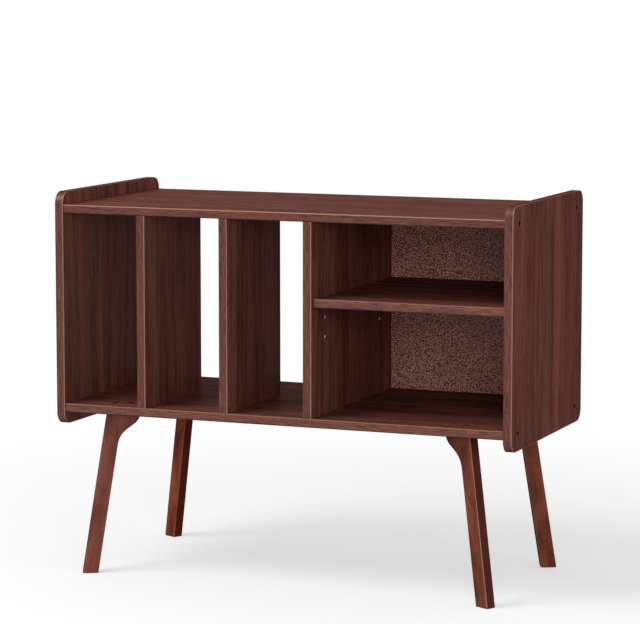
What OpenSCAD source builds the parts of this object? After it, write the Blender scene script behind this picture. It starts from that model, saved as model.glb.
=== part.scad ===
// Record storage stand: a walnut-finish cabinet with three upright record bays, a wide bay with
// an adjustable shelf, and four splayed solid-wood legs set on the diagonals of the cabinet.
// Millimetres. The origin is on the floor under the middle of the stand, +X is the right-hand
// side seen from the front, -Y is the front and +Z is up.

/* [Overall] */
// Width over the two side panels
overall_w = 850; // [700:5:1200]
// Depth of the side panels, front to back
overall_d = 400; // [330:5:520]
// Height from the floor to the top of the side panels
overall_h = 685; // [520:5:900]

/* [Cabinet boards] */
// Thickness of every board, its edge band included where it has one
board_t = 15; // [12:0.5:22]
// Clear height between the bottom panel and the top panel
bay_h = 340; // [325:5:420]
// Clear width of each of the three record bays
record_bay_w = 142.5; // [100:0.5:175]
// How far the side panels rise above the top panel and hang below the bottom panel
lip_h = 22.5; // [15:0.5:40]
// Corner radius of the side panels
corner_r = 22; // [8:1:35]
// How far the other boards sit back from the front of the side panels
front_setback = 2; // [1:0.5:10]
// How far the other boards stop short of the back of the side panels
rear_setback = 5; // [4:0.5:12]
// Depth of the left and middle dividers, which stop short of the open back
short_divider_d = 240; // [160:5:300]
// Thickness of the edge band glued round the boards
band_t = 1; // [0.5:0.1:2]
// Thickness of the hardboard behind the wide bay
back_t = 3; // [2.5:0.5:4]

/* [Shelf] */
// How far the shelf sits back from the front of the side panels
shelf_setback = 10; // [4:1:40]
// Gap between the back of the shelf and the back panel
shelf_rear_gap = 5; // [2:1:60]
// Gap at each end of the shelf, which the supports' flanges stand in
shelf_end_gap = 1.5; // [1.5:0.1:3]
// Height of the lowest row of shelf holes above the bay floor
first_row_h = 136; // [60:1:160]
// Distance between rows of shelf holes
row_pitch = 34; // [25:1:50]
// Row of holes that the shelf stands in, counted from below
shelf_row = 3; // [1:1:3]
// Distance of the shelf holes from the front and the back of the side panels
shelf_hole_inset = 66; // [40:1:100]
// Diameter of the shelf holes
shelf_hole_d = 5; // [4:0.5:7]

/* [Legs] */
// Width of a leg, measured level
leg_w = 28; // [22:1:45]
// Thickness of a leg
leg_t = 20; // [18:1:30]
// Lean of a leg outwards from the upright, in degrees
leg_splay = 9; // [0:0.5:14]
// Turn of a leg's broad face from the front of the cabinet, in degrees
leg_turn = 27; // [0:1:45]
// Distance of a leg's top outer edge from the outer face of the side panel
leg_inset_x = 80; // [60:1:130]
// Distance of a leg's top outer edge from the front or back of the side panels
leg_inset_y = 38; // [32:1:70]
// Length of the flared head of a leg, along the bottom panel
flare_w = 60; // [50:1:90]
// Height over which the flare runs out into the leg
flare_h = 60; // [52:1:110]
// Height of the rounded nose of the flared head
flare_nose_h = 26; // [20:1:34]

/* [Fasteners] */
// Distance of the side panel screws from the front and the back
side_screw_inset = 36; // [25:1:60]
// Length of the side panel screws
side_screw_len = 50; // [45:5:60]
// Diameter of the side panel screws' heads
side_screw_head_d = 10.5; // [9:0.5:12]
// Diameter of the wooden dowels
dowel_d = 8; // [6:1:8]
// Length of the wooden dowels
dowel_len = 30; // [25:1:40]
// Diameter of the cam locks in the dividers
cam_d = 15; // [12:1:18]
// Distance of the cam locks from the ends of the dividers
cam_reach = 24; // [20:1:34]
// Diameter of the leg bolts
leg_bolt_d = 6; // [5:1:6]
// Length of the threaded inserts in the legs
insert_len = 12; // [10:1:13]

/* [Hidden] */
$fn = 48;

// Colours
walnut = "#6a4038";
band_walnut = "#7c5046";
leg_wood = "#74402f";
hardboard = "#4b302b";
dowel_wood = "#c9a878";
steel = "#b4b6ba";
zinc = "#9a9da1";
bronzed_steel = "#2d2422";

// Clearances
fit = 0.05;         // round a screw, pin, dowel or cam in its hole
end_room = 1;       // past the end of a dowel or screw in its blind hole
seat_gap = 0.3;     // round the back panel
blind_wall = 5;     // board left under a blind hole in its face

// Heights
side_h = bay_h + 2*board_t + 2*lip_h;
leg_h = overall_h - side_h + lip_h;
bay_z = leg_h + board_t;
ceiling_z = bay_z + bay_h;
top_z = ceiling_z + board_t;

// Depths
front_y = -overall_d/2;
back_y = overall_d/2;
board_front_y = front_y + front_setback;
board_back_y = back_y - rear_setback;
short_back_y = board_front_y + short_divider_d;

// Widths
side_x = overall_w/2 - board_t;
left_divider_x = -side_x + record_bay_w;
middle_divider_x = left_divider_x + board_t + record_bay_w;
right_divider_x = middle_divider_x + board_t + record_bay_w;
wide_bay_x = right_divider_x + board_t;

// Shelf and its supports
support_pin_h = 12;     // from the ledge up to the pin's axis
support_pin_len = 8;
support_ledge = 12;
support_w = 12;
support_t = 1.2;
support_rim = 0.3;      // metal above the pin
shelf_hole_depth = board_t - blind_wall;
shelf_hole_y = overall_d/2 - shelf_hole_inset;
shelf_pin_z = bay_z + first_row_h + (shelf_row - 1)*row_pitch;
shelf_z = shelf_pin_z - support_pin_h;
shelf_x0 = wide_bay_x + shelf_end_gap;
shelf_x1 = side_x - shelf_end_gap;
shelf_y0 = front_y + shelf_setback;
shelf_y1 = board_back_y - shelf_rear_gap;

// Side panel screws
screw_neck_d = 7;
screw_thread_d = 6;
screw_head_h = 3;
screw_tip = 4;
screw_z = [leg_h + board_t/2, top_z - board_t/2];
screw_y = overall_d/2 - side_screw_inset;
hex_key = 4;            // across the flats

// Dowels
dowel_seat = board_t - blind_wall;
panel_dowel_y = overall_d/4 - 8;

// Cam fittings
cam_h = board_t - 3;
cam_bolt_d = 6;
cam_bolt_root_d = 5;
cam_bolt_bore_d = 8;
cam_bolt_room = 0.5;

// Leg fixings, measured inwards from a leg's top outer edge
leg_bolt_at = [15, 44];
insert_d = 9;
leg_bolt_head_d = 2*leg_bolt_d;
leg_bolt_grip = 10;     // thread in the insert

// Back panel and its screws
back_screw_d = 3;
back_screw_len = 16;
back_screw_head_d = 6.5;
back_screw_head_h = 1.6;
back_margin = 1;
back_x0 = right_divider_x + back_margin;
back_x1 = side_x - seat_gap;
back_z0 = leg_h + back_margin;
back_z1 = top_z - back_margin;

// Fastener places along each divider: [left face, cam places, dowel places], from its front edge
long_divider_d = board_back_y - board_front_y;
DIVIDERS = [
    [left_divider_x, [short_divider_d/2], [short_divider_d/6, short_divider_d*5/6]],
    [middle_divider_x, [short_divider_d/2], [short_divider_d/6, short_divider_d*5/6]],
    [right_divider_x, [long_divider_d/6, long_divider_d*5/6], [long_divider_d/2]]
];

// A box between two corners
module block(lo, hi) translate(lo) cube(hi - lo);

// A board whose front and back edges leave room for an edge band
module banded_board(lo, hi) block(lo + [0, band_t, 0], hi - [0, band_t, 0]);

// The edge bands at the front and the back of a board
module edge_bands(lo, hi) {
    block(lo, [hi.x, lo.y + band_t, hi.z]);
    block([lo.x, hi.y - band_t, lo.z], hi);
}

// A rod along +X, and one along +Z
module rod_x(d, len) rotate([0, 90, 0]) cylinder(d = d, h = len);
module rod_z(d, len) cylinder(d = d, h = len);

// ---- Side panels ----

// A rectangle with round corners, about its middle
module round_rectangle(w, h, r) {
    square([w - 2*r, h], center = true);
    square([w, h - 2*r], center = true);
    for (x = [-1, 1], y = [-1, 1])
        translate([x*(w/2 - r), y*(h/2 - r)]) circle(r, $fn = 96);
}

// The outline of a side panel, drawn in by inset
module side_outline(inset)
    round_rectangle(overall_d - 2*inset, side_h - 2*inset, corner_r - inset);

// Stands an outline up as the left side panel
module stand_left()
    translate([-overall_w/2, 0, leg_h - lip_h + side_h/2])
        rotate([90, 0, 90]) linear_extrude(board_t) children();

module left_side_board() difference() {
    stand_left() side_outline(band_t);
    for (z = screw_z) {
        for (y = [-screw_y, screw_y]) translate([-overall_w/2, y, z]) {
            translate([-1, 0, 0]) rod_x(screw_neck_d + 2*fit, board_t + 2);
            translate([-1, 0, 0]) rod_x(side_screw_head_d + 2*fit, screw_head_h + 1);
        }
        for (y = [-panel_dowel_y, panel_dowel_y])
            translate([-side_x - dowel_seat, y, z]) rod_x(dowel_d + 2*fit, dowel_seat + 1);
    }
}

module side_edge_band() stand_left() difference() {
    side_outline(0);
    side_outline(band_t);
}

// Every shelf hole in the face at x, going into the board along direction dir
module shelf_holes(x, dir)
    for (row = [0:2], y = [-shelf_hole_y, shelf_hole_y])
        translate([x, y, bay_z + first_row_h + row*row_pitch]) rotate([0, 0, dir > 0 ? 0 : 180])
            translate([-1, 0, 0]) rod_x(shelf_hole_d, shelf_hole_depth + 1);

module left_side_panel() color(walnut) left_side_board();

module right_side_panel() color(walnut) difference() {
    mirror([1, 0, 0]) left_side_board();
    shelf_holes(side_x, 1);
}

module left_side_edge_band() color(band_walnut) side_edge_band();

module right_side_edge_band() color(band_walnut) mirror([1, 0, 0]) side_edge_band();

// ---- Top and bottom panels ----

// Holes for the side panel screws and dowels in both ends of a panel whose middle is at z
module panel_end_holes(z) for (side = [0, 1]) mirror([side, 0, 0]) {
    for (y = [-screw_y, screw_y]) translate([-side_x - 1, y, z])
        rod_x(screw_thread_d + 2*fit, side_screw_len - board_t + end_room + 1);
    for (y = [-panel_dowel_y, panel_dowel_y]) translate([-side_x - 1, y, z])
        rod_x(dowel_d + 2*fit, dowel_len - dowel_seat + end_room + 1);
}

// Holes for the dividers' cam bolts and dowels, going up from a face at z, or down if dir is -1
module divider_face_holes(z, dir) for (d = DIVIDERS) {
    for (place = d[1]) translate([d[0] + board_t/2, board_front_y + place, z])
        mirror([0, 0, dir > 0 ? 0 : 1]) translate([0, 0, -1])
            rod_z(cam_bolt_root_d + 2*fit, dowel_seat + 1);
    for (place = d[2]) translate([d[0] + board_t/2, board_front_y + place, z])
        mirror([0, 0, dir > 0 ? 0 : 1]) translate([0, 0, -1])
            rod_z(dowel_d + 2*fit, dowel_seat + 1);
}

// Runs its children at every leg bolt: x points out along the leg, z = 0 is the underside
// of the bottom panel
module at_leg_bolts() for (sx = [-1, 1], sy = [-1, 1], at = leg_bolt_at)
    leg_frame(sx, sy) translate([-at, 0, leg_h]) children();

top_lo = [-side_x, board_front_y, ceiling_z];
top_hi = [side_x, board_back_y, top_z];
bottom_lo = [-side_x, board_front_y, leg_h];
bottom_hi = [side_x, board_back_y, bay_z];

module top_panel() color(walnut) difference() {
    banded_board(top_lo, top_hi);
    panel_end_holes(screw_z[1]);
    divider_face_holes(ceiling_z, 1);
    back_screw_holes();
}

module bottom_panel() color(walnut) difference() {
    banded_board(bottom_lo, bottom_hi);
    panel_end_holes(screw_z[0]);
    divider_face_holes(bay_z, -1);
    back_screw_holes();
    at_leg_bolts() {
        translate([0, 0, -1]) rod_z(leg_bolt_d + 2*fit, board_t + 2);
        translate([0, 0, board_t - leg_bolt_d/2])
            cylinder(d1 = leg_bolt_d + 2*fit, d2 = leg_bolt_head_d + 2*fit, h = leg_bolt_d/2);
    }
}

module top_panel_edge_bands() color(band_walnut) difference() {
    edge_bands(top_lo, top_hi);
    back_screw_holes();
}

module bottom_panel_edge_bands() color(band_walnut) difference() {
    edge_bands(bottom_lo, bottom_hi);
    back_screw_holes();
}

// ---- Dividers ----

// The room that a cam fitting takes in a divider's left face and end; z = 0 is the end of the
// divider and +Z goes into it
module cam_room() {
    translate([0, 0, -1]) rod_z(cam_bolt_bore_d, cam_reach + 1);
    translate([-board_t/2 - 1, 0, cam_reach]) rod_x(cam_d + 2*fit, cam_h + 1);
}

// Runs its children at both ends of a divider, at the places along it; +Z goes into the divider
module at_divider_ends(d, places) for (place = places)
    translate([d[0] + board_t/2, board_front_y + place, 0]) {
        translate([0, 0, bay_z]) children();
        translate([0, 0, ceiling_z]) mirror([0, 0, 1]) children();
    }

module divider_board(d, end_y) difference() {
    banded_board([d[0], board_front_y, bay_z], [d[0] + board_t, end_y, ceiling_z]);
    at_divider_ends(d, d[1]) cam_room();
    at_divider_ends(d, d[2])
        translate([0, 0, -1]) rod_z(dowel_d + 2*fit, dowel_len - dowel_seat + end_room + 1);
}

module left_divider() color(walnut) divider_board(DIVIDERS[0], short_back_y);

module middle_divider() color(walnut) divider_board(DIVIDERS[1], short_back_y);

module right_divider() color(walnut) difference() {
    divider_board(DIVIDERS[2], board_back_y);
    shelf_holes(wide_bay_x, -1);
    back_screw_holes();
}

module divider_edge_bands() color(band_walnut) difference() {
    for (d = DIVIDERS) {
        end_y = d[0] == right_divider_x ? board_back_y : short_back_y;
        edge_bands([d[0], board_front_y, bay_z], [d[0] + board_t, end_y, ceiling_z]);
    }
    back_screw_holes();
}

// ---- Shelf ----

module adjustable_shelf() color(walnut)
    block([shelf_x0 + band_t, shelf_y0 + band_t, shelf_z],
          [shelf_x1 - band_t, shelf_y1 - band_t, shelf_z + board_t]);

module shelf_edge_bands() color(band_walnut) {
    edge_bands([shelf_x0, shelf_y0, shelf_z], [shelf_x1, shelf_y1, shelf_z + board_t]);
    for (x = [shelf_x0, shelf_x1 - band_t])
        block([x, shelf_y0 + band_t, shelf_z], [x + band_t, shelf_y1 - band_t, shelf_z + board_t]);
}

// One steel support: its pin points along -X from a board face at x = 0, and its ledge along +X
module shelf_support() {
    block([0, -support_w/2, -support_pin_h - support_t],
          [support_t, support_w/2, shelf_hole_d/2 + support_rim]);
    block([0, -support_w/2, -support_pin_h - support_t],
          [shelf_end_gap + support_ledge, support_w/2, -support_pin_h]);
    translate([-support_pin_len, 0, 0]) rod_x(shelf_hole_d - 2*fit, support_pin_len + support_t/2);
}

module shelf_supports() color(steel) for (y = [-shelf_hole_y, shelf_hole_y]) {
    translate([wide_bay_x, y, shelf_pin_z]) shelf_support();
    translate([side_x, y, shelf_pin_z]) mirror([1, 0, 0]) shelf_support();
}

// ---- Back panel ----

// Runs its children at every back panel screw, with +Z pointing forwards from the rear face
module at_back_screws() {
    middle_x = (wide_bay_x + side_x)/2;
    edge_x = right_divider_x + board_t/2;
    for (x = [edge_x, middle_x, side_x - board_t], z = screw_z)
        translate([x, board_back_y + back_t, z]) rotate([90, 0, 0]) children();
    for (z = [bay_z + bay_h/4, bay_z + bay_h*3/4])
        translate([edge_x, board_back_y + back_t, z]) rotate([90, 0, 0]) children();
}

module back_screw_holes() at_back_screws()
    rod_z(back_screw_d + 2*fit, back_screw_len + end_room);

module back_panel() color(hardboard) difference() {
    block([back_x0, board_back_y, back_z0], [back_x1, board_back_y + back_t, back_z1]);
    at_back_screws() translate([0, 0, -1]) rod_z(back_screw_d + 2*fit, back_t + 2);
}

module back_panel_screws() color(bronzed_steel) at_back_screws() {
    difference() {
        translate([0, 0, -back_screw_head_h]) rod_z(back_screw_head_d, back_screw_head_h);
        for (turn = [0, 90]) rotate([0, 0, turn])
            translate([-1.8, -0.4, -back_screw_head_h - 1]) cube([3.6, 0.8, 1.9]);
    }
    rod_z(back_screw_d, back_screw_len);
}

// ---- Legs ----

// Turns +X outwards along a leg's splay, at the top outer edge of the leg in corner sx, sy
module leg_frame(sx, sy)
    translate([sx*(overall_w/2 - leg_inset_x), sy*(overall_d/2 - leg_inset_y), 0])
        rotate([0, 0, atan2(sy*sin(leg_turn), sx*cos(leg_turn))]) children();

// A point on a cubic curve through four control points
function curve(p, t) = pow(1 - t, 3)*p[0] + 3*t*pow(1 - t, 2)*p[1]
    + 3*t*t*(1 - t)*p[2] + t*t*t*p[3];

// The inner edge of a leg's head, as [level width of the leg, depth below the bottom panel]:
// a full round nose, then a sweep that runs out into the leg
reach = flare_w - leg_w;
sweep_h = flare_h - flare_nose_h;
sweep_start = [leg_w + reach*0.61, flare_nose_h];
nose_curve = [
    [flare_w, flare_nose_h*0.2],
    [flare_w, flare_nose_h*0.55],
    [leg_w + reach*0.88, flare_nose_h*0.75],
    sweep_start
];
sweep_curve = [
    sweep_start,
    [leg_w + reach*0.256, flare_nose_h + sweep_h*0.25],
    [leg_w, flare_nose_h + sweep_h*0.5],
    [leg_w, flare_h]
];
HEAD_STEPS = 12;
head_edge = concat(
    [for (i = [0:HEAD_STEPS/2]) curve(nose_curve, i/(HEAD_STEPS/2))],
    [for (i = [1:HEAD_STEPS]) curve(sweep_curve, i/HEAD_STEPS)]
);

// Places the outer edge at depth below the bottom panel
function outer_edge(depth) = depth*tan(leg_splay);

module leg_outline() polygon(concat(
    [[-leg_w + outer_edge(leg_h), 0], [outer_edge(leg_h), 0], [0, leg_h], [-flare_w, leg_h]],
    [for (p = head_edge) [outer_edge(p[1]) - p[0], leg_h - p[1]]]
));

module leg(sx, sy) color(leg_wood) leg_frame(sx, sy) difference() {
    rotate([90, 0, 0]) linear_extrude(leg_t, center = true) leg_outline();
    for (at = leg_bolt_at) translate([-at, 0, leg_h - insert_len - end_room])
        rod_z(insert_d + 2*fit, insert_len + end_room + 1);
}

module front_left_leg() leg(-1, -1);

module front_right_leg() leg(1, -1);

module rear_left_leg() leg(-1, 1);

module rear_right_leg() leg(1, 1);

module leg_inserts() color(steel) at_leg_bolts() difference() {
    translate([0, 0, -insert_len]) rod_z(insert_d, insert_len);
    translate([0, 0, -insert_len - 1]) rod_z(leg_bolt_d + 2*fit, insert_len + 2);
}

module leg_bolts() color(bronzed_steel) at_leg_bolts() difference() {
    union() {
        translate([0, 0, board_t - leg_bolt_d/2])
            cylinder(d1 = leg_bolt_d, d2 = leg_bolt_head_d, h = leg_bolt_d/2);
        translate([0, 0, -leg_bolt_grip]) rod_z(leg_bolt_d, leg_bolt_grip + board_t - leg_bolt_d/2);
    }
    translate([0, 0, board_t - 2.5]) hex_socket(3.5);
}

// ---- Other fasteners ----

// A hexagonal socket for the key, along +Z
module hex_socket(h) cylinder(d = hex_key*2/sqrt(3), h = h, $fn = 6);

// A countersunk-neck connecting screw along +X, its head's face at x = 0
module side_screw() difference() {
    union() {
        rod_x(side_screw_head_d, screw_head_h);
        rod_x(screw_neck_d, board_t);
        rod_x(screw_thread_d, side_screw_len - screw_tip);
        translate([side_screw_len - screw_tip, 0, 0]) rotate([0, 90, 0])
            cylinder(d1 = screw_thread_d, d2 = screw_thread_d/2, h = screw_tip);
    }
    translate([-1, 0, 0]) rotate([0, 90, 0]) hex_socket(screw_head_h + 1);
}

module left_screws() for (y = [-screw_y, screw_y], z = screw_z)
    translate([-overall_w/2, y, z]) side_screw();

module left_side_screws() color(bronzed_steel) left_screws();

module right_side_screws() color(bronzed_steel) mirror([1, 0, 0]) left_screws();

// Dowels between a panel whose middle is at z and both side panels
module panel_dowels(z) for (side = [0, 1], y = [-panel_dowel_y, panel_dowel_y])
    mirror([side, 0, 0]) translate([-side_x - dowel_seat, y, z]) rod_x(dowel_d, dowel_len);

module top_panel_dowels() color(dowel_wood) panel_dowels(screw_z[1]);

module bottom_panel_dowels() color(dowel_wood) panel_dowels(screw_z[0]);

module divider_dowels() color(dowel_wood) for (d = DIVIDERS)
    at_divider_ends(d, d[2]) translate([0, 0, -dowel_seat]) rod_z(dowel_d, dowel_len);

module cam_bolts() color(steel) for (d = DIVIDERS) at_divider_ends(d, d[1]) {
    translate([0, 0, -dowel_seat]) rod_z(cam_bolt_root_d, dowel_seat);
    rod_z(cam_bolt_d, cam_reach - 3);
    rod_z(cam_bolt_d/2, cam_reach);
}

module cam_locks() color(zinc) for (d = DIVIDERS) at_divider_ends(d, d[1]) difference() {
    translate([-board_t/2, 0, cam_reach]) rod_x(cam_d, cam_h);
    rod_z(cam_bolt_d + 2*cam_bolt_room, cam_reach + cam_bolt_room);
    for (turn = [0, 90]) translate([-board_t/2, 0, cam_reach]) rotate([turn, 0, 0])
        translate([-1, -3, -0.6]) cube([2.5, 6, 1.2]);
}

left_side_panel();
right_side_panel();
top_panel();
bottom_panel();
left_divider();
middle_divider();
right_divider();
adjustable_shelf();
back_panel();
left_side_edge_band();
right_side_edge_band();
top_panel_edge_bands();
bottom_panel_edge_bands();
divider_edge_bands();
shelf_edge_bands();
front_left_leg();
front_right_leg();
rear_left_leg();
rear_right_leg();
leg_inserts();
leg_bolts();
left_side_screws();
right_side_screws();
top_panel_dowels();
bottom_panel_dowels();
divider_dowels();
cam_bolts();
cam_locks();
shelf_supports();
back_panel_screws();
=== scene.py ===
# The looks of a record storage stand: walnut-print boards with glued edge bands, stained solid-wood
# legs, and their fittings. Metres, +X to the right, -Y to the front, +Z up, as in the CAD frame.
import math

import bmesh
import bpy
from mathutils import Matrix, Vector


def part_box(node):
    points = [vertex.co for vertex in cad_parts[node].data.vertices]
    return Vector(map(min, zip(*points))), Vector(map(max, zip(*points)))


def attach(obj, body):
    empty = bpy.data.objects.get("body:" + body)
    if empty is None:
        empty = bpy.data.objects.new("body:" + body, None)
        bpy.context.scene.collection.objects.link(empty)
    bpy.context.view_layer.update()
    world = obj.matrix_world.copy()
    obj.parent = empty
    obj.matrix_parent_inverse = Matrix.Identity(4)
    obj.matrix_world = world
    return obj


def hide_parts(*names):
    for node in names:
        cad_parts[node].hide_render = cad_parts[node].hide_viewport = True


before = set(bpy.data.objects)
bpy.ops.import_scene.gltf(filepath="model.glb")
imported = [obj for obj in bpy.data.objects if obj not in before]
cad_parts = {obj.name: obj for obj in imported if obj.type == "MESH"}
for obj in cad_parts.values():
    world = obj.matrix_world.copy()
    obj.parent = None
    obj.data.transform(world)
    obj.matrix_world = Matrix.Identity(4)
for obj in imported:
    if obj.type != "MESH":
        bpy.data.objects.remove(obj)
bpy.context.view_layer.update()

MM = 0.001
SAME_POINT = 0.01 * MM    # corners nearer than this are one corner
ON_FACE = 0.02 * MM       # and a face nearer than this to a board's side lies on it
FLAT_WITHIN = math.radians(0.5)    # faces that bend less than this are one flat face
ROUND_WITHIN = math.radians(40)    # and those that bend less than this are shaded as one round face

# ---- Camera, at the photograph's viewing angle ----

CAMERA_PLACE = (1.8784, -4.6561, 1.0857)
CAMERA_TURN = 21.977     # degrees to the left of looking straight back
CAMERA_DIP = 7.016       # degrees below the horizon
CAMERA_LENS = 159.47     # millimetres, on a sensor 36 mm wide

camera_data = bpy.data.cameras.new("camera")
camera_data.lens = CAMERA_LENS
camera_data.sensor_width = 36.0
camera_data.clip_end = 100.0
camera = bpy.data.objects.new("camera", camera_data)
camera.location = CAMERA_PLACE
camera.rotation_euler = (math.radians(90 - CAMERA_DIP), 0, math.radians(CAMERA_TURN))
bpy.context.scene.collection.objects.link(camera)
bpy.context.scene.camera = camera
bpy.context.scene.view_settings.view_transform = "Standard"

# ---- Node helpers ----


def linear(hex_colour):
    """An sRGB hex colour as linear red, green, blue and alpha."""
    channels = [int(hex_colour[i:i + 2], 16) / 255 for i in (1, 3, 5)]
    return [c / 12.92 if c <= 0.04045 else ((c + 0.055) / 1.055) ** 2.4 for c in channels] + [1.0]


def socket(sockets, name):
    """A socket by its number, or the one in use that has that name."""
    if isinstance(name, int):
        return sockets[name]
    return next(s for s in sockets if s.name == name and s.enabled)


def add(tree, kind, links=None, **settings):
    """Adds a node; links gives its inputs a value, a socket, or a node, whose first output is meant."""
    node = tree.nodes.new(kind)
    for name, value in settings.items():
        setattr(node, name, value)
    for name, value in (links or {}).items():
        target = socket(node.inputs, name)
        if isinstance(value, bpy.types.Node):
            value = next(s for s in value.outputs if s.enabled)
        if isinstance(value, bpy.types.NodeSocket):
            tree.links.new(value, target)
        else:
            target.default_value = value
    return node


def material(name, surface, **finish):
    """A material whose shader is made by surface(tree, **finish)."""
    made = bpy.data.materials.new(name)
    made.use_nodes = True
    made.node_tree.nodes.clear()
    shader = surface(made.node_tree, **finish)
    add(made.node_tree, "ShaderNodeOutputMaterial", {"Surface": shader})
    return made


# ---- Finishes ----

GRAIN = "grain"    # UV map on boards and bands: u along the grain, v across it, in metres
WOOD = "wood"      # attribute on legs: along the leg, across its broad face, through it, in metres
BROAD = "broad"    # attribute on legs: 1 on the broad faces, 0 on the narrow ones
GRAIN_SWAY = 9 * MM    # how far the printed streaks wander sideways


def streaks(tree, coordinates, along, across, detail=1.0, start=0.0):
    """Noise whose patches are about along by across millimetres, drawn out along the grain."""
    placed = add(tree, "ShaderNodeMapping", {
        "Vector": coordinates,
        "Location": (start, start, start),
        "Scale": (1000 / along, 1000 / across, 1000 / across),
    })
    return add(tree, "ShaderNodeTexNoise", {"Vector": placed, "Scale": 1.0, "Detail": detail})


def share(tree, value, low, high):
    """0 below low, 1 above high, and smooth between them."""
    return add(tree, "ShaderNodeMapRange", {"Value": value, "From Min": low, "From Max": high},
               interpolation_type="SMOOTHSTEP")


def times(tree, value, factor):
    """A value times a number."""
    return add(tree, "ShaderNodeMath", {0: value, 1: factor}, operation="MULTIPLY")


def blend_of(tree, parts):
    """The weighted sum of (value, weight) pairs."""
    total = 0.0
    for value, weight in parts:
        total = add(tree, "ShaderNodeMath", {0: value, 1: weight, 2: total}, operation="MULTIPLY_ADD")
    return total


def mixed(tree, factor, first, second):
    """The mix of two colours."""
    return add(tree, "ShaderNodeMix", {"Factor": factor, "A": first, "B": second}, data_type="RGBA")


def coat_weight(tree, facing, slanting):
    """A satin coat: this strong where it is seen straight on, and that strong at a slant."""
    view = add(tree, "ShaderNodeLayerWeight", {"Blend": 0.5}).outputs["Facing"]
    return add(tree, "ShaderNodeMapRange", {
        "Value": view, "From Min": 0.3, "From Max": 0.6, "To Min": facing, "To Max": slanting})


def walnut_print(tree, grain, dark, light, red, pore, weights):
    """A printed walnut decor: swaying streaks of three widths, whose weights start with the finest,
    red heartwood and short pores."""
    sway = streaks(tree, grain, along=420, across=110, start=29).outputs["Color"]
    grain = add(tree, "ShaderNodeVectorMath", {0: sway, 1: (0, GRAIN_SWAY, 0), 2: grain},
                operation="MULTIPLY_ADD")
    bands = share(tree, streaks(tree, grain, along=900, across=46), 0.36, 0.64)
    straight = share(tree, streaks(tree, grain, along=230, across=13, detail=2, start=3), 0.31, 0.69)
    lines = share(tree, streaks(tree, grain, along=60, across=2.8, detail=2, start=7), 0.34, 0.66)
    shade = blend_of(tree, zip((lines, straight, bands), weights))
    colour = mixed(tree, shade, linear(dark), linear(light))
    heart = share(tree, streaks(tree, grain, along=1300, across=34, detail=2, start=11), 0.54, 0.7)
    colour = mixed(tree, times(tree, heart, 0.65), colour, linear(red))
    pores = share(tree, streaks(tree, grain, along=22, across=1.5, start=19), 0.55, 0.7)
    pores = times(tree, pores, 0.6)
    return mixed(tree, pores, colour, linear(pore)), lines, pores


def walnut_laminate(tree):
    """Melamine board with a printed walnut grain, pressed with fine pores: matt, dark reddish brown."""
    grain = add(tree, "ShaderNodeUVMap", uv_map=GRAIN)
    colour, lines, pores = walnut_print(
        tree, grain, "#4d2822", "#8b5649", "#9a564a", "#35150f", weights=(0.34, 0.42, 0.24))
    relief = add(tree, "ShaderNodeMath", {0: pores, 1: -1.0, 2: lines}, operation="MULTIPLY_ADD")
    bump = add(tree, "ShaderNodeBump", {"Height": relief, "Strength": 0.25, "Distance": 0.08 * MM})
    return add(tree, "ShaderNodeBsdfPrincipled", {
        "Base Color": colour, "Roughness": 0.6, "Specular IOR Level": 0.0,
        "Coat Weight": coat_weight(tree, 0.2, 0.055), "Coat Roughness": 0.4,
        "Normal": bump, "Coat Normal": bump})


def edge_band(tree, dark, light, red, trim, glue_line):
    """ABS edge band with the same print, glossier. The corner that faces up on level bands, and to the
    right
    on upright ones, is paler: a painted highlight. Along the other corner runs a dark painted shade, as
    strong as the last argument says."""
    grain = add(tree, "ShaderNodeUVMap", uv_map=GRAIN)
    across = add(tree, "ShaderNodeSeparateXYZ", {"Vector": grain}).outputs["Y"]
    # The print on the narrow bands is finer than the boards', so it shows as short dashes.
    fine_grain = add(tree, "ShaderNodeVectorMath", {0: grain, 1: (2.4, 1.7, 1)}, operation="MULTIPLY")
    colour, lines, _ = walnut_print(
        tree, fine_grain, dark, light, red, "#2c100a", weights=(0.66, 0.2, 0.14))
    # Painted highlight: the corner that faces the lamps is made paler.
    highlighted_corner = share(tree, across, PRINTED_HALF - 0.15 * MM, PRINTED_HALF + 0.25 * MM)
    colour = mixed(tree, highlighted_corner, colour, linear(trim))
    # Painted shade: a dark line along the corner that faces down.
    shaded_corner = share(tree, across, 0.3 * MM - PRINTED_HALF, -0.15 * MM - PRINTED_HALF)
    colour = mixed(tree, times(tree, shaded_corner, glue_line), colour, linear("#1c0906"))
    bump = add(tree, "ShaderNodeBump", {"Height": lines, "Strength": 0.2, "Distance": 0.05 * MM})
    return add(tree, "ShaderNodeBsdfPrincipled", {
        "Base Color": colour, "Roughness": 0.55, "Specular IOR Level": 0.0,
        "Coat Weight": coat_weight(tree, 0.6, 0.03), "Coat Roughness": 0.3,
        "Normal": bump, "Coat Normal": bump})


def particle_board(tree):
    """Raw chipboard: pale chips a few millimetres long, seen only in holes and joints."""
    place = add(tree, "ShaderNodeTexCoord").outputs["Object"]
    chips = add(tree, "ShaderNodeTexVoronoi", {"Vector": place, "Scale": 1 / (1.6 * MM)})
    fine = add(tree, "ShaderNodeTexNoise", {"Vector": place, "Scale": 1 / (0.8 * MM)})
    tint = add(tree, "ShaderNodeSeparateXYZ", {"Vector": chips.outputs["Color"]}).outputs["X"]
    shade = blend_of(tree, [(tint, 0.5), (fine, 0.5)])
    colour = mixed(tree, shade, linear("#cda58c"), linear("#fee6d6"))
    bump = add(tree, "ShaderNodeBump", {"Height": fine, "Strength": 0.6, "Distance": 0.2 * MM})
    return add(tree, "ShaderNodeBsdfPrincipled", {
        "Base Color": colour, "Roughness": 0.85, "Specular IOR Level": 0.2, "Normal": bump})


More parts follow.
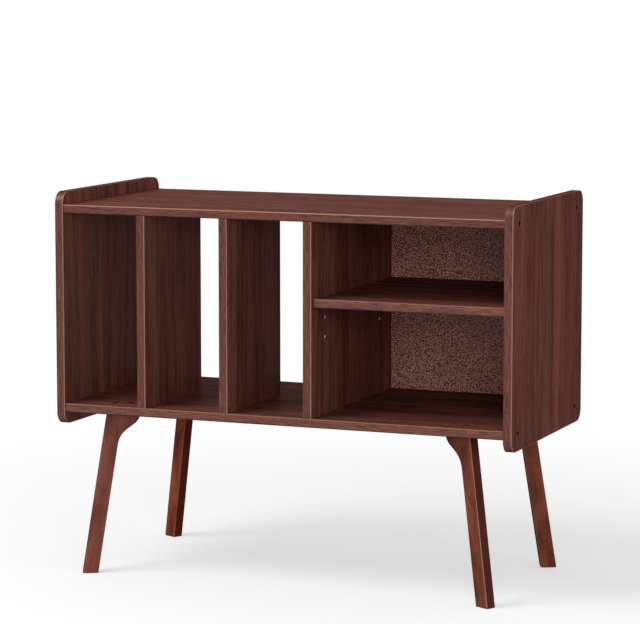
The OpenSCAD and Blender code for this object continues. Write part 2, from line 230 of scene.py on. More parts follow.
def stained_rubberwood(tree, dark, light, narrow_face, arrises):
    """Solid rubberwood under a red-brown stain and satin lacquer: cloudy, with short fine pores."""
    wood = add(tree, "ShaderNodeAttribute", attribute_name=WOOD).outputs["Vector"]
    broad = add(tree, "ShaderNodeAttribute", attribute_name=BROAD).outputs["Fac"]
    clouds = share(tree, streaks(tree, wood, along=70, across=30, detail=2), 0.3, 0.7)
    fibre = share(tree, streaks(tree, wood, along=120, across=3.5, detail=2, start=5), 0.3, 0.7)
    shade = blend_of(tree, [(clouds, 0.8), (fibre, 0.2)])
    colour = mixed(tree, shade, linear(dark), linear(light))
    pores = share(tree, streaks(tree, wood, along=7, across=1.4, start=13), 0.58, 0.7)
    colour = mixed(tree, times(tree, pores, 0.35), colour, linear("#3f1811"))
    # The narrow faces are darker: partly more stain, partly painted shade. Along the arrises the colour
    # changes.
    narrow = add(tree, "ShaderNodeMapRange",
                 {"Value": broad, "From Min": 0.75, "From Max": 0.2, "To Max": 0.85})
    colour = mixed(tree, narrow, colour, linear(narrow_face))
    # broad times (1 - broad) is zero on both faces and peaks halfway round the arris between them.
    arris = add(tree, "ShaderNodeMath", {0: 1.0, 1: broad}, operation="SUBTRACT")
    arris = add(tree, "ShaderNodeMath", {0: arris, 1: broad}, operation="MULTIPLY")
    arris = share(tree, arris, 0.1, 0.22)
    # The arris colour: a pale painted highlight on the brown and orange legs, darker on the red leg.
    colour = mixed(tree, times(tree, arris, 0.85), colour, linear(arrises))
    bump = add(tree, "ShaderNodeBump", {"Height": fibre, "Strength": 0.25, "Distance": 0.08 * MM})
    return add(tree, "ShaderNodeBsdfPrincipled", {
        "Base Color": colour, "Roughness": 0.5, "Specular IOR Level": 0.0,
        "Coat Weight": coat_weight(tree, 0.15, 0.03), "Coat Roughness": 0.32,
        "Normal": bump, "Coat Normal": bump})


def printed_hardboard(tree):
    """Hardboard faced with a satin brown foil, grainy with pale flecks under 2 mm wide."""
    place = add(tree, "ShaderNodeTexCoord").outputs["Object"]
    grains = add(tree, "ShaderNodeTexVoronoi", {"Vector": place, "Scale": 1 / (1.8 * MM)})
    patches = add(tree, "ShaderNodeTexNoise", {"Vector": place, "Scale": 1 / (45 * MM), "Detail": 1.0})
    ground = mixed(tree, patches, linear("#56221f"), linear("#723833"))
    flecks = share(tree, grains.outputs["Distance"], 0.5, 0.25)
    colour = mixed(tree, flecks, ground, linear("#ffc6b4"))
    bump = add(tree, "ShaderNodeBump", {"Height": flecks, "Strength": 0.6, "Distance": 0.4 * MM})
    return add(tree, "ShaderNodeBsdfPrincipled", {
        "Base Color": colour, "Roughness": 0.45, "Specular IOR Level": 0.4, "Normal": bump})


def raw_hardboard(tree):
    """The unfaced side of hardboard: fibrous brown, printed by the press's wire screen."""
    place = add(tree, "ShaderNodeTexCoord").outputs["Object"]
    fibres = add(tree, "ShaderNodeTexNoise", {"Vector": place, "Scale": 1 / (1.8 * MM), "Detail": 2.0})
    clouds = add(tree, "ShaderNodeTexNoise", {"Vector": place, "Scale": 1 / (60 * MM), "Detail": 2.0})
    shade = blend_of(tree, [(fibres, 0.6), (clouds, 0.4)])
    colour = mixed(tree, shade, linear("#5e3b2c"), linear("#9f765c"))
    # The screen's wires lie 1.5 mm apart; they are drawn at 3 mm, which still shows from a step away.
    wires = [add(tree, "ShaderNodeTexWave", {"Vector": place, "Scale": math.pi * 2 / (20 * 3.0 * MM)},
                 bands_direction=direction) for direction in ("X", "Z")]
    weave = add(tree, "ShaderNodeMath", {0: wires[0], 1: wires[1]}, operation="MULTIPLY")
    height = add(tree, "ShaderNodeMath", {0: fibres, 1: 0.5, 2: weave}, operation="MULTIPLY_ADD")
    bump = add(tree, "ShaderNodeBump", {"Height": height, "Strength": 0.6, "Distance": 0.4 * MM})
    return add(tree, "ShaderNodeBsdfPrincipled", {
        "Base Color": colour, "Roughness": 0.8, "Specular IOR Level": 0.15, "Normal": bump})


def plated_metal(tree, dark, light, edge, roughness, cloud):
    """Plated or cast metal: cloudy patches of cloud millimetres that shift its colour and its gloss,
    and the colour edge where it is seen at a slant."""
    place = add(tree, "ShaderNodeTexCoord").outputs["Object"]
    clouds = add(tree, "ShaderNodeTexNoise", {"Vector": place, "Scale": 1 / (cloud * MM), "Detail": 3.0})
    fine = add(tree, "ShaderNodeTexNoise", {"Vector": place, "Scale": 1 / (0.3 * MM)})
    colour = mixed(tree, clouds, linear(dark), linear(light))
    gloss = add(tree, "ShaderNodeMapRange",
                {"Value": clouds, "To Min": roughness - 0.1, "To Max": roughness + 0.1})
    bump = add(tree, "ShaderNodeBump", {"Height": fine, "Strength": 0.15, "Distance": 0.03 * MM})
    return add(tree, "ShaderNodeBsdfPrincipled", {
        "Base Color": colour, "Metallic": 1.0, "Roughness": gloss, "Normal": bump,
        "Specular Tint": linear(edge)})


def beech_dowel(tree, turn):
    """Pale beech, its fibres along the dowel; turn brings the dowel's length onto the pattern's X."""
    place = add(tree, "ShaderNodeTexCoord").outputs["Object"]
    turned = add(tree, "ShaderNodeMapping", {"Vector": place, "Rotation": turn})
    fibre = streaks(tree, turned, along=30, across=0.8, detail=2)
    flecks = share(tree, streaks(tree, turned, along=3, across=0.5, start=4), 0.58, 0.68)
    colour = mixed(tree, fibre, linear("#b98f5f"), linear("#dcbb8c"))
    colour = mixed(tree, flecks, colour, linear("#9a7045"))
    bump = add(tree, "ShaderNodeBump", {"Height": fibre, "Strength": 0.4, "Distance": 0.1 * MM})
    return add(tree, "ShaderNodeBsdfPrincipled", {"Base Color": colour, "Roughness": 0.7, "Normal": bump})


# ---- Sizes, from the frame ----

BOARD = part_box("top_panel")[1].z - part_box("top_panel")[0].z
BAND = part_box("top_panel")[0].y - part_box("top_panel_edge_bands")[0].y
CORNER_RADIUS = 22 * MM
BAND_ARRIS = 0.95 * MM      # radius of a band's trimmed corners
PRINTED_HALF = BOARD / 2 - BAND_ARRIS    # from the middle of a band's face to its corners
LEG_TURN = 27               # degrees from the front of the cabinet to a leg's broad face
LEG_SPLAY = 9               # degrees that a leg leans outwards
LEG_ARRIS = 1.8 * MM
TOP_ARRIS_SHARE = 0.2       # of that, round a leg's top face
FITTING_ARRIS = 0.3 * MM

laminate = material("walnut_laminate", walnut_laminate)
# The upright boards' bands come from a darker roll. The top panel's bands carry the palest painted
# highlight on their upper corner and a full painted shade on the lower one.
upright_band = material("walnut_edge_band_dark", edge_band,
                        dark="#3f1810", light="#845041", red="#7b3b2d", trim="#9c6858", glue_line=0.0)
level_band = material("walnut_edge_band_light", edge_band,
                      dark="#4a2018", light="#925f4e", red="#874535", trim="#966858", glue_line=0.9)
top_band = material("walnut_edge_band_top_highlight", edge_band,
                    dark="#401910", light="#855041", red="#804133", trim="#bb9080", glue_line=1.0)
chipboard = material("raw_particle_board", particle_board)
# Each leg has its own tones, partly painted light that follows how each leg's faces catch the lamps.
brown_leg = material("brown_stained_rubberwood", stained_rubberwood,
                     dark="#602c1d", light="#92523d", narrow_face="#4a1a16", arrises="#b98a78")
orange_leg = material("orange_stained_rubberwood", stained_rubberwood,
                      dark="#6a2718", light="#a4583f", narrow_face="#4c0402", arrises="#b06c54")
red_leg = material("red_stained_rubberwood", stained_rubberwood,
                   dark="#743e35", light="#96564a", narrow_face="#47130f", arrises="#6a3a30")
hardboard = material("printed_hardboard", printed_hardboard)
raw_back = material("raw_hardboard", raw_hardboard)
bronzed = material("bronzed_steel", plated_metal, dark="#1b100c", light="#3a251e",
                   edge="#4a3a34", roughness=0.5, cloud=4)
zinc_plate = material("zinc_plated_steel", plated_metal, dark="#9da1a6", light="#c6c9cc",
                      edge="#ffffff", roughness=0.34, cloud=5)
zinc_cast = material("zinc_casting", plated_metal, dark="#7d8084", light="#a3a6a9",
                     edge="#e0e0e0", roughness=0.5, cloud=1.5)
dowel_along_x = material("beech_dowel_level", beech_dowel, turn=(0, 0, 0))
dowel_along_z = material("beech_dowel_upright", beech_dowel, turn=(0, math.radians(90), 0))

# ---- Mesh helpers ----


def evaluated_mesh(holder):
    """What an object's modifiers make of it, as a plain mesh; the object is removed."""
    bpy.context.scene.collection.objects.link(holder)
    depsgraph = bpy.context.evaluated_depsgraph_get()
    made = bpy.data.meshes.new_from_object(holder.evaluated_get(depsgraph))
    bpy.data.objects.remove(holder)
    return made


def run_tree(tree, mesh, values):
    """Runs a geometry node tree on a mesh, with its inputs by name."""
    holder = bpy.data.objects.new("holder", mesh)
    modifier = holder.modifiers.new("made", "NODES")
    modifier.node_group = tree
    for item in tree.interface.items_tree:
        if item.name in values:
            modifier[item.identifier] = values[item.name]
    return evaluated_mesh(holder)


def rounded(mesh, width, segments):
    """Rounds the edges that carry a bevel weight."""
    holder = bpy.data.objects.new("holder", mesh)
    bevel = holder.modifiers.new("rounded", "BEVEL")
    bevel.width = width
    bevel.segments = segments
    bevel.limit_method = "WEIGHT"
    bevel.use_clamp_overlap = False
    return evaluated_mesh(holder)


def merged_copy(node):
    """A CAD node's loose triangles as one closed mesh to work on, its flat faces made whole."""
    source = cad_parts[node].data
    loose = bpy.data.meshes.new(node)
    loose.from_pydata([v.co for v in source.vertices], [], [list(p.vertices) for p in source.polygons])
    work = bmesh.new()
    work.from_mesh(loose)
    bpy.data.meshes.remove(loose)
    bmesh.ops.remove_doubles(work, verts=work.verts, dist=SAME_POINT)
    bmesh.ops.dissolve_limit(work, angle_limit=FLAT_WITHIN, verts=work.verts, edges=work.edges)
    return work


def weigh_edges(work, weight_of, sharp=30):
    """Gives each edge sharper than that many degrees the bevel weight that weight_of(edge) says."""
    layer = work.edges.layers.float.new("bevel_weight_edge")
    for edge in work.edges:
        if edge.is_manifold and edge.calc_face_angle() > math.radians(sharp):
            edge[layer] = weight_of(edge)


def to_mesh(work, name):
    """The work as a mesh; the work is freed."""
    mesh = bpy.data.meshes.new(name)
    work.to_mesh(mesh)
    work.free()
    return mesh


def finish_piece(name, mesh, body, nodes, materials=()):
    """Makes a mesh a piece that stands for these CAD nodes, with smooth arrises and flat faces."""
    for finish in materials:
        mesh.materials.append(finish)
    mesh.shade_smooth()
    mesh.set_sharp_from_angle(angle=ROUND_WITHIN)
    piece = bpy.data.objects.new(name, mesh)
    bpy.context.scene.collection.objects.link(piece)
    piece.modifiers.new("flat_faces", "WEIGHTED_NORMAL").keep_sharp = True
    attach(piece, body)
    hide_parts(*nodes)
    return piece


# ---- Boards ----

OTHER_FACE = 5    # metres along the pattern from one face of a board to the other


def lay_grain(mesh, along, start):
    """Lays the grain map: u along axis number along, v across it, another stretch for each face."""
    layer = mesh.uv_layers.new(name=GRAIN)
    for face in mesh.polygons:
        facing = max(range(3), key=lambda axis: abs(face.normal[axis]))
        across = 3 - along - facing if facing != along else (along + 1) % 3
        shift = start if face.normal[facing] < 0 else start + OTHER_FACE
        for corner in face.loop_indices:
            point = mesh.vertices[mesh.loops[corner].vertex_index].co
            layer.data[corner].uv = (point[along] + shift, point[across] + shift)


def make_board(node, name, along, thin, start, body="cabinet", faces=(laminate, laminate),
               raw=chipboard):
    """A board: its broad faces, low one first, have their own finish, its edges and holes are raw."""
    lo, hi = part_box(node)
    mesh = to_mesh(merged_copy(node), name)
    lay_grain(mesh, along, start)
    for face in mesh.polygons:
        if abs(face.center[thin] - lo[thin]) < ON_FACE:
            face.material_index = 0
        elif abs(face.center[thin] - hi[thin]) < ON_FACE:
            face.material_index = 1
        else:
            face.material_index = 2
    finish_piece(name, mesh, body, [node], [*faces, raw])


X, Y, Z = 0, 1, 2
make_board("left_side_panel", "left_side_board", along=Z, thin=X, start=0)
# On this stretch of the pattern a red streak runs up the outer face, two thirds of the way back.
make_board("right_side_panel", "right_side_board", along=Z, thin=X, start=19.914)
make_board("top_panel", "top_board", along=X, thin=Z, start=40)
make_board("bottom_panel", "bottom_board", along=X, thin=Z, start=60)
make_board("left_divider", "left_divider_board", along=Z, thin=X, start=80)
make_board("middle_divider", "middle_divider_board", along=Z, thin=X, start=100)
make_board("right_divider", "right_divider_board", along=Z, thin=X, start=120)
make_board("adjustable_shelf", "shelf_board", along=X, thin=Z, start=140, body="shelf")
make_board("back_panel", "back_board", along=X, thin=Y, start=160,
           faces=(hardboard, raw_back), raw=raw_back)

# ---- Edge bands ----


def new_tree(name, inputs):
    """A geometry node tree with these named inputs; its first input is the geometry it works on."""
    tree = bpy.data.node_groups.new(name, "GeometryNodeTree")
    for title, kind in inputs.items():
        tree.interface.new_socket(title, in_out="INPUT", socket_type="NodeSocket" + kind)
    tree.interface.new_socket("Made", in_out="OUTPUT", socket_type="NodeSocketGeometry")
    return tree, add(tree, "NodeGroupInput").outputs


def band_tree():
    """Runs a band along a path in the XY plane: its width is along Z, and its glued side is on the
    left of the path. The grain map follows the path, with v = 0 in the middle of the printed face."""
    tree, given = new_tree("edge_band", {
        "Path": "Geometry", "Band thickness": "Float", "Board thickness": "Float",
        "Arris radius": "Float", "Closed": "Bool", "Grain start": "Float", "Finish": "Material"})
    spline = add(tree, "GeometryNodeSplineParameter").outputs["Length"]
    path = add(tree, "GeometryNodeMeshToCurve", {"Mesh": given["Path"]})
    path = add(tree, "GeometryNodeSetCurveNormal", {"Curve": path}, mode="Z_UP")
    path = add(tree, "GeometryNodeStoreNamedAttribute", {
        "Geometry": path, "Name": "along",
        "Value": add(tree, "ShaderNodeMath", {0: spline, 1: given["Grain start"]})})
    outline = add(tree, "GeometryNodeCurvePrimitiveQuadrilateral",
                  {"Width": given["Band thickness"], "Height": given["Board thickness"]})
    side = add(tree, "ShaderNodeSeparateXYZ",
               {"Vector": add(tree, "GeometryNodeInputPosition")}).outputs["X"]
    outer = add(tree, "ShaderNodeMath", {0: side, 1: 0.0}, operation="LESS_THAN")
    radius = add(tree, "ShaderNodeMath", {0: outer, 1: given["Arris radius"]}, operation="MULTIPLY")
    outline = add(tree, "GeometryNodeFilletCurve", {"Curve": outline, "Radius": radius}, mode="POLY")
    socket(outline.inputs, "Count").default_value = 5
    length = add(tree, "GeometryNodeCurveLength", {"Curve": outline})
    # The outline starts at a glued corner, so the printed face's middle lies halfway round the rest.
    middle = add(tree, "ShaderNodeMath", {0: length, 1: given["Board thickness"]}, operation="SUBTRACT")
    around = add(tree, "ShaderNodeMath", {0: middle, 1: -0.5, 2: spline}, operation="MULTIPLY_ADD")
    outline = add(tree, "GeometryNodeStoreNamedAttribute",
                  {"Geometry": outline, "Name": "around", "Value": around})
    open_path = add(tree, "ShaderNodeMath", {0: 1.0, 1: given["Closed"]}, operation="SUBTRACT")
    swept = add(tree, "GeometryNodeCurveToMesh",
                {"Curve": path, "Profile Curve": outline, "Fill Caps": open_path})
    grain = add(tree, "ShaderNodeCombineXYZ", {
        "X": add(tree, "GeometryNodeInputNamedAttribute", {"Name": "along"}),
        "Y": add(tree, "GeometryNodeInputNamedAttribute", {"Name": "around"})})
    mapped = add(tree, "GeometryNodeStoreNamedAttribute",
                 {"Geometry": swept, "Name": GRAIN, "Value": grain},
                 data_type="FLOAT2", domain="CORNER")
    merged = add(tree, "GeometryNodeMergeByDistance", {"Geometry": mapped, "Distance": 2 * SAME_POINT})
    whole = add(tree, "GeometryNodeRealizeInstances", {"Geometry": merged})
    finished = add(tree, "GeometryNodeSetMaterial", {"Geometry": whole, "Material": given["Finish"]})
    add(tree, "NodeGroupOutput", {"Made": finished})
    return tree


BAND_TREE = band_tree()


def run_band(points, closed, grain_start, place, finish):
    """One band along points, put into the frame by the matrix place."""
    path = bpy.data.meshes.new("path")
    path.from_pydata(points, [(i, i + 1) for i in range(len(points) - 1)], [])
    mesh = run_tree(BAND_TREE, path, {
        "Band thickness": BAND, "Board thickness": BOARD, "Arris radius": BAND_ARRIS,
        "Closed": closed, "Grain start": grain_start, "Finish": finish})
    mesh.transform(place)
    return mesh


def rounded_path(width, height, radius, steps=16):
    """Points anticlockwise round a rectangle with round corners about the origin, from the middle of
    its low side back to there."""
    points = [Vector((0, -height / 2, 0))]
    for quarter in range(4):
        across, up = ((1, -1), (1, 1), (-1, 1), (-1, -1))[quarter]
        middle = Vector((across * (width / 2 - radius), up * (height / 2 - radius), 0))
        for step in range(steps + 1):
            angle = math.radians(90 * (quarter - 1 + step / steps))
            points.append(middle + radius * Vector((math.cos(angle), math.sin(angle), 0)))
    return points + [points[0]]


def side_band(node, name, grain_start):
    """The band round a side panel's whole outline."""
    lo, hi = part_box(node)
    points = rounded_path(hi.y - lo.y - BAND, hi.z - lo.z - BAND, CORNER_RADIUS - BAND / 2)
    # The path is drawn level: its X becomes the frame's Y, its Y becomes Z and its Z becomes X.
    upright = Matrix(((0, 0, 1, 0), (1, 0, 0, 0), (0, 1, 0, 0), (0, 0, 0, 1)))
    mesh = run_band(points, True, grain_start, Matrix.Translation((lo + hi) / 2) @ upright, upright_band)
    finish_piece(name, mesh, "cabinet", [node])


def strip(lo, hi, outward, grain_start, finish):
    """A straight band that fills the box from lo to hi and faces outward."""
    size = hi - lo
    long_axis = max(range(3), key=lambda axis: size[axis])
    facing = max(range(3), key=lambda axis: abs(outward[axis]))
    inward = -Vector(outward)
    width = Vector([float(axis not in (long_axis, facing)) for axis in range(3)])
    run = inward.cross(width)
    place = Matrix((run, inward, width)).transposed().to_4x4()
    place.translation = (lo + hi) / 2
    half = Vector((size[long_axis] / 2, 0, 0))
    return run_band([-half, half], False, grain_start, place, finish)


def straight_bands(node, name, boards, grain_start, finish, body="cabinet", ends=False):
    """The bands on the front and back edges of boards and, with ends, on their ends between those."""
    work = bmesh.new()
    for board in boards:
        lo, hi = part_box(board)
        over = BAND if ends else 0
        strips = [((lo.x - over, lo.y - BAND, lo.z), (hi.x + over, lo.y, hi.z), (0, -1, 0)),
                  ((lo.x - over, hi.y, lo.z), (hi.x + over, hi.y + BAND, hi.z), (0, 1, 0))]
        if ends:
            strips += [((lo.x - BAND, lo.y, lo.z), (lo.x, hi.y, hi.z), (-1, 0, 0)),
                       ((hi.x, lo.y, lo.z), (hi.x + BAND, hi.y, hi.z), (1, 0, 0))]
        for low, high, outward in strips:
            work.from_mesh(strip(Vector(low), Vector(high), outward, grain_start, finish))
            grain_start += 1
    finish_piece(name, to_mesh(work, name), body, [node], [finish])


side_band("left_side_edge_band", "left_side_band", grain_start=200)
side_band("right_side_edge_band", "right_side_band", grain_start=205)
straight_bands("top_panel_edge_bands", "top_bands", ["top_panel"], grain_start=210, finish=top_band)
straight_bands("bottom_panel_edge_bands", "bottom_bands", ["bottom_panel"],
               grain_start=215, finish=level_band)
straight_bands("divider_edge_bands", "divider_bands", ["left_divider", "middle_divider", "right_divider"],
               grain_start=220, finish=upright_band)
straight_bands("shelf_edge_bands", "shelf_bands", ["adjustable_shelf"],
               grain_start=230, finish=level_band, body="shelf", ends=True)

# ---- Legs ----


def make_leg(node, name, side_x, side_y, finish):
    """A leg with eased arrises; the wood attribute follows its length, so its grain does too."""
    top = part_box(node)[1].z
    work = merged_copy(node)

    def weight_of(edge):
        """Full easing, and hardly any round the face against the bottom panel."""
        against_panel = all(abs(corner.co.z - top) < SAME_POINT for corner in edge.verts)
        return TOP_ARRIS_SHARE if against_panel else 1.0

    weigh_edges(work, weight_of)
    mesh = rounded(to_mesh(work, name), LEG_ARRIS, segments=4)
    turn = math.radians(LEG_TURN)
    outward = Vector((side_x * math.cos(turn), side_y * math.sin(turn), 0))
    through = Vector((-outward.y, outward.x, 0))
    splay = math.radians(LEG_SPLAY)
    along = outward * math.sin(splay) - Vector((0, 0, math.cos(splay)))
    wide = through.cross(along)
    # Each leg is cut from another stretch of the pattern.
    start = Vector((2 + side_x, 3 + side_y, 0))
    wood = mesh.attributes.new(WOOD, "FLOAT_VECTOR", "POINT")
    for vertex in mesh.vertices:
        measured = Vector([vertex.co.dot(direction) for direction in (along, wide, through)])
        wood.data[vertex.index].vector = start + measured
    broad = mesh.attributes.new(BROAD, "FLOAT", "FACE")
    for face in mesh.polygons:
        broad.data[face.index].value = abs(face.normal.dot(through))
    finish_piece(name, mesh, "cabinet", [node], [finish])


make_leg("front_left_leg", "front_left_leg_wood", -1, -1, red_leg)
make_leg("front_right_leg", "front_right_leg_wood", 1, -1, brown_leg)
make_leg("rear_left_leg", "rear_left_leg_wood", -1, 1, orange_leg)
make_leg("rear_right_leg", "rear_right_leg_wood", 1, 1, brown_leg)

# ---- Fittings ----

CROSS_ARM = math.radians(15)    # half the angle that an arm of a cross recess takes, seen from its middle


def circle(angle):
    """The radius of a circle that is 2 across, at any angle."""
    return 1.0


def hexagon(angle):
    """The radius of a hexagon that is 2 across its flats."""
    sixth = math.radians(60)
    return 1 / math.cos((angle + sixth / 2) % sixth - sixth / 2)


def cross(angle):
    """The radius of a cross whose arms are 1 long."""
    quarter = math.radians(90)
    off_arm = min(angle % quarter, quarter - angle % quarter)
    return 1 / math.cos(off_arm) if off_arm < CROSS_ARM else math.tan(CROSS_ARM) / math.sin(off_arm)


def stacked(name, rings, sides=48):
    """A closed solid from rings of (shape, size, height), listed from the tip round to the recess."""
    points, faces = [], []
    for shape, size, height in rings:
        for step in range(sides):
            angle = 2 * math.pi * step / sides
            radius = size * shape(angle)
            points.append((radius * math.cos(angle), radius * math.sin(angle), height))
    for ring in range(0, len(points) - sides, sides):
        for step in range(sides):
            this, following = ring + step, ring + (step + 1) % sides
            faces.append((this, following, following + sides, this + sides))
    faces.append(range(sides - 1, -1, -1))
    faces.append(range(len(points) - sides, len(points)))
    mesh = bpy.data.meshes.new(name)
    mesh.from_pydata(points, [], faces)
    return mesh


def hexagon_socket(depth):
    """The rings of a 4 mm hexagon socket with an eased mouth."""
    return [(hexagon, 2.2 * MM, 0), (hexagon, 2 * MM, -0.2 * MM), (hexagon, 2 * MM, -depth)]


def side_screw(length, head):
    """A connecting screw: thick thread, neck, flat head with eased rim and a 4 mm hexagon socket."""
    thread = [(circle, 1.5 * MM, -length), (circle, 3 * MM, 4 * MM - length), (circle, 3 * MM, -BOARD)]
    neck = [(circle, 3.5 * MM, -BOARD), (circle, 3.5 * MM, -3 * MM)]
    rim = [(circle, head, -3 * MM), (circle, head, -0.5 * MM), (circle, head - 0.15 * MM, -0.15 * MM),
           (circle, head - 0.5 * MM, 0)]
    return thread + neck + rim + hexagon_socket(2.8 * MM)


def leg_bolt(length, head):
    """A countersunk machine bolt with a 4 mm hexagon socket."""
    thread = [(circle, 2.4 * MM, -length), (circle, 3 * MM, 0.6 * MM - length), (circle, 3 * MM, -3 * MM)]
    cone = [(circle, head, -0.1 * MM), (circle, head - 0.2 * MM, 0)]
    return thread + cone + hexagon_socket(2.5 * MM)


def back_screw(length, head):
    """A chipboard screw with a low round head and a cross recess."""
    thread = [(circle, 0.3 * MM, -length), (circle, 1.5 * MM, 2.5 * MM - length),
              (circle, 1.5 * MM, -1.6 * MM)]
    dome = [(circle, head, -1.6 * MM), (circle, head, -0.9 * MM), (circle, head - 0.4 * MM, -0.4 * MM),
            (circle, head - 1.1 * MM, 0)]
    recess = [(cross, 1.8 * MM, 0), (cross, 1.5 * MM, -1.1 * MM)]
    return thread + dome + recess


def solid_boxes(node):
    """The lowest and highest corners of each separate solid of a CAD node."""
    work = merged_copy(node)
    seen = set()
    boxes = []
    for first in work.verts:
        if first in seen:
            continue
        seen.add(first)
        reached = [first]
        for vertex in reached:
            for edge in vertex.link_edges:
                other = edge.other_vert(vertex)
                if other not in seen:
                    seen.add(other)
                    reached.append(other)
        corners = [[limit(v.co[axis] for v in reached) for axis in range(3)] for limit in (min, max)]
        boxes.append([Vector(corner) for corner in corners])
    work.free()
    return boxes


def fitting_tree():
    """Sets a fitting at every point, turned by the point's "turn", and makes them one mesh."""
    tree, given = new_tree("set_fittings", {
        "Places": "Geometry", "Fitting": "Object", "Finish": "Material"})
    turn = add(tree, "GeometryNodeInputNamedAttribute", {"Name": "turn"}, data_type="FLOAT_VECTOR")
    turn = add(tree, "FunctionNodeEulerToRotation", {"Euler": turn})
    fitting = add(tree, "GeometryNodeObjectInfo", {"Object": given["Fitting"]}).outputs["Geometry"]
    placed = add(tree, "GeometryNodeInstanceOnPoints",
                 {"Points": given["Places"], "Instance": fitting, "Rotation": turn})
    whole = add(tree, "GeometryNodeRealizeInstances", {"Geometry": placed})
    finished = add(tree, "GeometryNodeSetMaterial", {"Geometry": whole, "Material": given["Finish"]})
    add(tree, "NodeGroupOutput", {"Made": finished})
    return tree


FITTING_TREE = fitting_tree()


def set_screws(node, name, shape, axis, outward):
    """Screws of one shape in place of a CAD node's, their heads' faces outward along an axis."""
    boxes = solid_boxes(node)
    places = bpy.data.meshes.new("places")
    points = []
    for lo, hi in boxes:
        point = (lo + hi) / 2
        point[axis] = hi[axis] if outward > 0 else lo[axis]
        points.append(point)
    places.from_pydata(sorted(points, key=tuple), [], [])
    quarter = math.radians(90 * outward)
    turn = {X: (0, quarter, 0), Y: (-quarter, 0, 0), Z: (0, 0, 0)}[axis]
    turns = places.attributes.new("turn", "FLOAT_VECTOR", "POINT")
    for point in turns.data:
        point.vector = turn
    size = boxes[0][1] - boxes[0][0]
    rings = shape(length=size[axis], head=size[(axis + 1) % 3] / 2)
    fitting = bpy.data.objects.new("fitting", stacked("fitting", rings))
    mesh = run_tree(FITTING_TREE, places, {"Fitting": fitting, "Finish": bronzed})
    bpy.data.objects.remove(fitting)
    finish_piece(name, mesh, "cabinet", [node])


def ease_fittings(node, name, finish):
    """The CAD node's fittings with their sharp edges eased."""
    work = merged_copy(node)
    weigh_edges(work, lambda edge: 1.0)
    mesh = rounded(to_mesh(work, name), FITTING_ARRIS, segments=2)
    finish_piece(name, mesh, "cabinet", [node], [finish])


set_screws("left_side_screws", "left_screws", side_screw, X, -1)
set_screws("right_side_screws", "right_screws", side_screw, X, 1)
set_screws("back_panel_screws", "back_screws", back_screw, Y, 1)
set_screws("leg_bolts", "countersunk_leg_bolts", leg_bolt, Z, 1)
ease_fittings("shelf_supports", "shelf_support_plates", zinc_plate)
ease_fittings("cam_locks", "cam_lock_drums", zinc_cast)

# These fittings keep the shape that the CAD gives them.
for node, finish in (("top_panel_dowels", dowel_along_x), ("bottom_panel_dowels", dowel_along_x),
                     ("divider_dowels", dowel_along_z), ("cam_bolts", zinc_plate),
                     ("leg_inserts", zinc_plate)):
    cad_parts[node].data.materials.clear()
    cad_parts[node].data.materials.append(finish)

# ---- Floor, light and world ----

FLOOR_GLOW = 0.525       # white added near the stand, where the floor also shows its shadow
FLOOR_FADE = (0.6, 1.8)  # metres from the middle, over which the floor turns plain white


def plain_ray(tree):
    """1 for rays from the camera and for mirrored or transmitted ones, which see plain white."""
    seen = add(tree, "ShaderNodeLightPath").outputs
    plainly = add(tree, "ShaderNodeMath", {0: seen["Is Camera Ray"], 1: seen["Is Glossy Ray"]})
    return add(tree, "ShaderNodeMath", {0: plainly, 1: seen["Is Transmission Ray"]}, use_clamp=True)


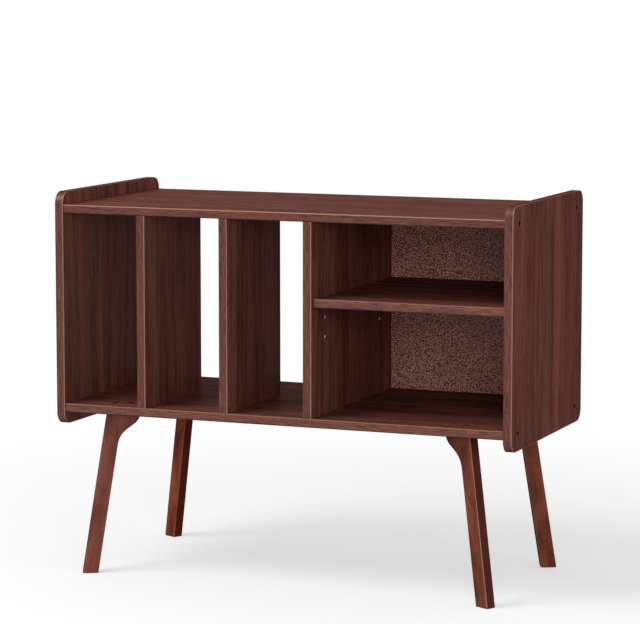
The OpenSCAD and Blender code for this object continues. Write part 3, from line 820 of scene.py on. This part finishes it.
def white_floor(tree):
    """A white studio floor: it takes the shadow near the stand and fades to plain white around it."""
    plainly = plain_ray(tree)
    place = add(tree, "ShaderNodeTexCoord").outputs["Object"]
    distance = add(tree, "ShaderNodeVectorMath", {0: place}, operation="LENGTH").outputs["Value"]
    fade = share(tree, distance, *FLOOR_FADE)
    seen_colour = mixed(tree, fade, linear("#d0d0d0"), linear("#000000"))
    # Light that bounces up sees a greyer floor, so the undersides keep their depth.
    colour = mixed(tree, plainly, linear("#b4b4b4"), seen_colour)
    matt = add(tree, "ShaderNodeBsdfDiffuse", {"Color": colour})
    strength = add(tree, "ShaderNodeMapRange", {"Value": fade, "To Min": FLOOR_GLOW, "To Max": 1.0})
    strength = add(tree, "ShaderNodeMath", {0: strength, 1: plainly}, operation="MULTIPLY")
    white = add(tree, "ShaderNodeEmission", {"Color": linear("#ffffff"), "Strength": strength})
    return add(tree, "ShaderNodeAddShader", {0: matt, 1: white})


FLOOR_HALF = 30.0
floor_mesh = bpy.data.meshes.new("floor")
corners = [(-FLOOR_HALF, -FLOOR_HALF, 0), (FLOOR_HALF, -FLOOR_HALF, 0),
           (FLOOR_HALF, FLOOR_HALF, 0), (-FLOOR_HALF, FLOOR_HALF, 0)]
floor_mesh.from_pydata(corners, [], [(0, 1, 2, 3)])
floor_mesh.materials.append(material("white_floor", white_floor))
floor = bpy.data.objects.new("floor", floor_mesh)
bpy.context.scene.collection.objects.link(floor)


STAND_MIDDLE = Vector((0, 0, 0.45))    # what the lamps point at


def softbox(name, turn, height, distance, size, level):
    """A square area lamp, turn degrees to the right of the front and height degrees up. A surface at
    the stand that faces it gets level times the light that renders a colour as it is written."""
    data = bpy.data.lights.new(name, "AREA")
    data.size = size
    data.energy = level * (math.pi * distance) ** 2
    lamp = bpy.data.objects.new(name, data)
    right, up = math.radians(turn), math.radians(height)
    towards = Vector((math.cos(up) * math.sin(right), -math.cos(up) * math.cos(right), math.sin(up)))
    lamp.location = STAND_MIDDLE + distance * towards
    lamp.rotation_euler = towards.to_track_quat("Z", "Y").to_euler()
    bpy.context.scene.collection.objects.link(lamp)


softbox("key_softbox", turn=-44, height=48, distance=5.0, size=2.6, level=0.455)
softbox("front_softbox", turn=24, height=9, distance=4.6, size=1.6, level=0.27)
softbox("side_softbox", turn=68, height=10, distance=4.0, size=0.7, level=0.07)

WORLD_LIGHT = 0.36    # what lights the stand; what is seen directly or mirrored is plain white
world = bpy.data.worlds.new("studio")
world.use_nodes = True
world.node_tree.nodes.clear()
bpy.context.scene.world = world
strength = add(world.node_tree, "ShaderNodeMapRange",
               {"Value": plain_ray(world.node_tree), "To Min": WORLD_LIGHT, "To Max": 1.0})
background = add(world.node_tree, "ShaderNodeBackground",
                 {"Color": linear("#ffffff"), "Strength": strength})
add(world.node_tree, "ShaderNodeOutputWorld", {"Surface": background})
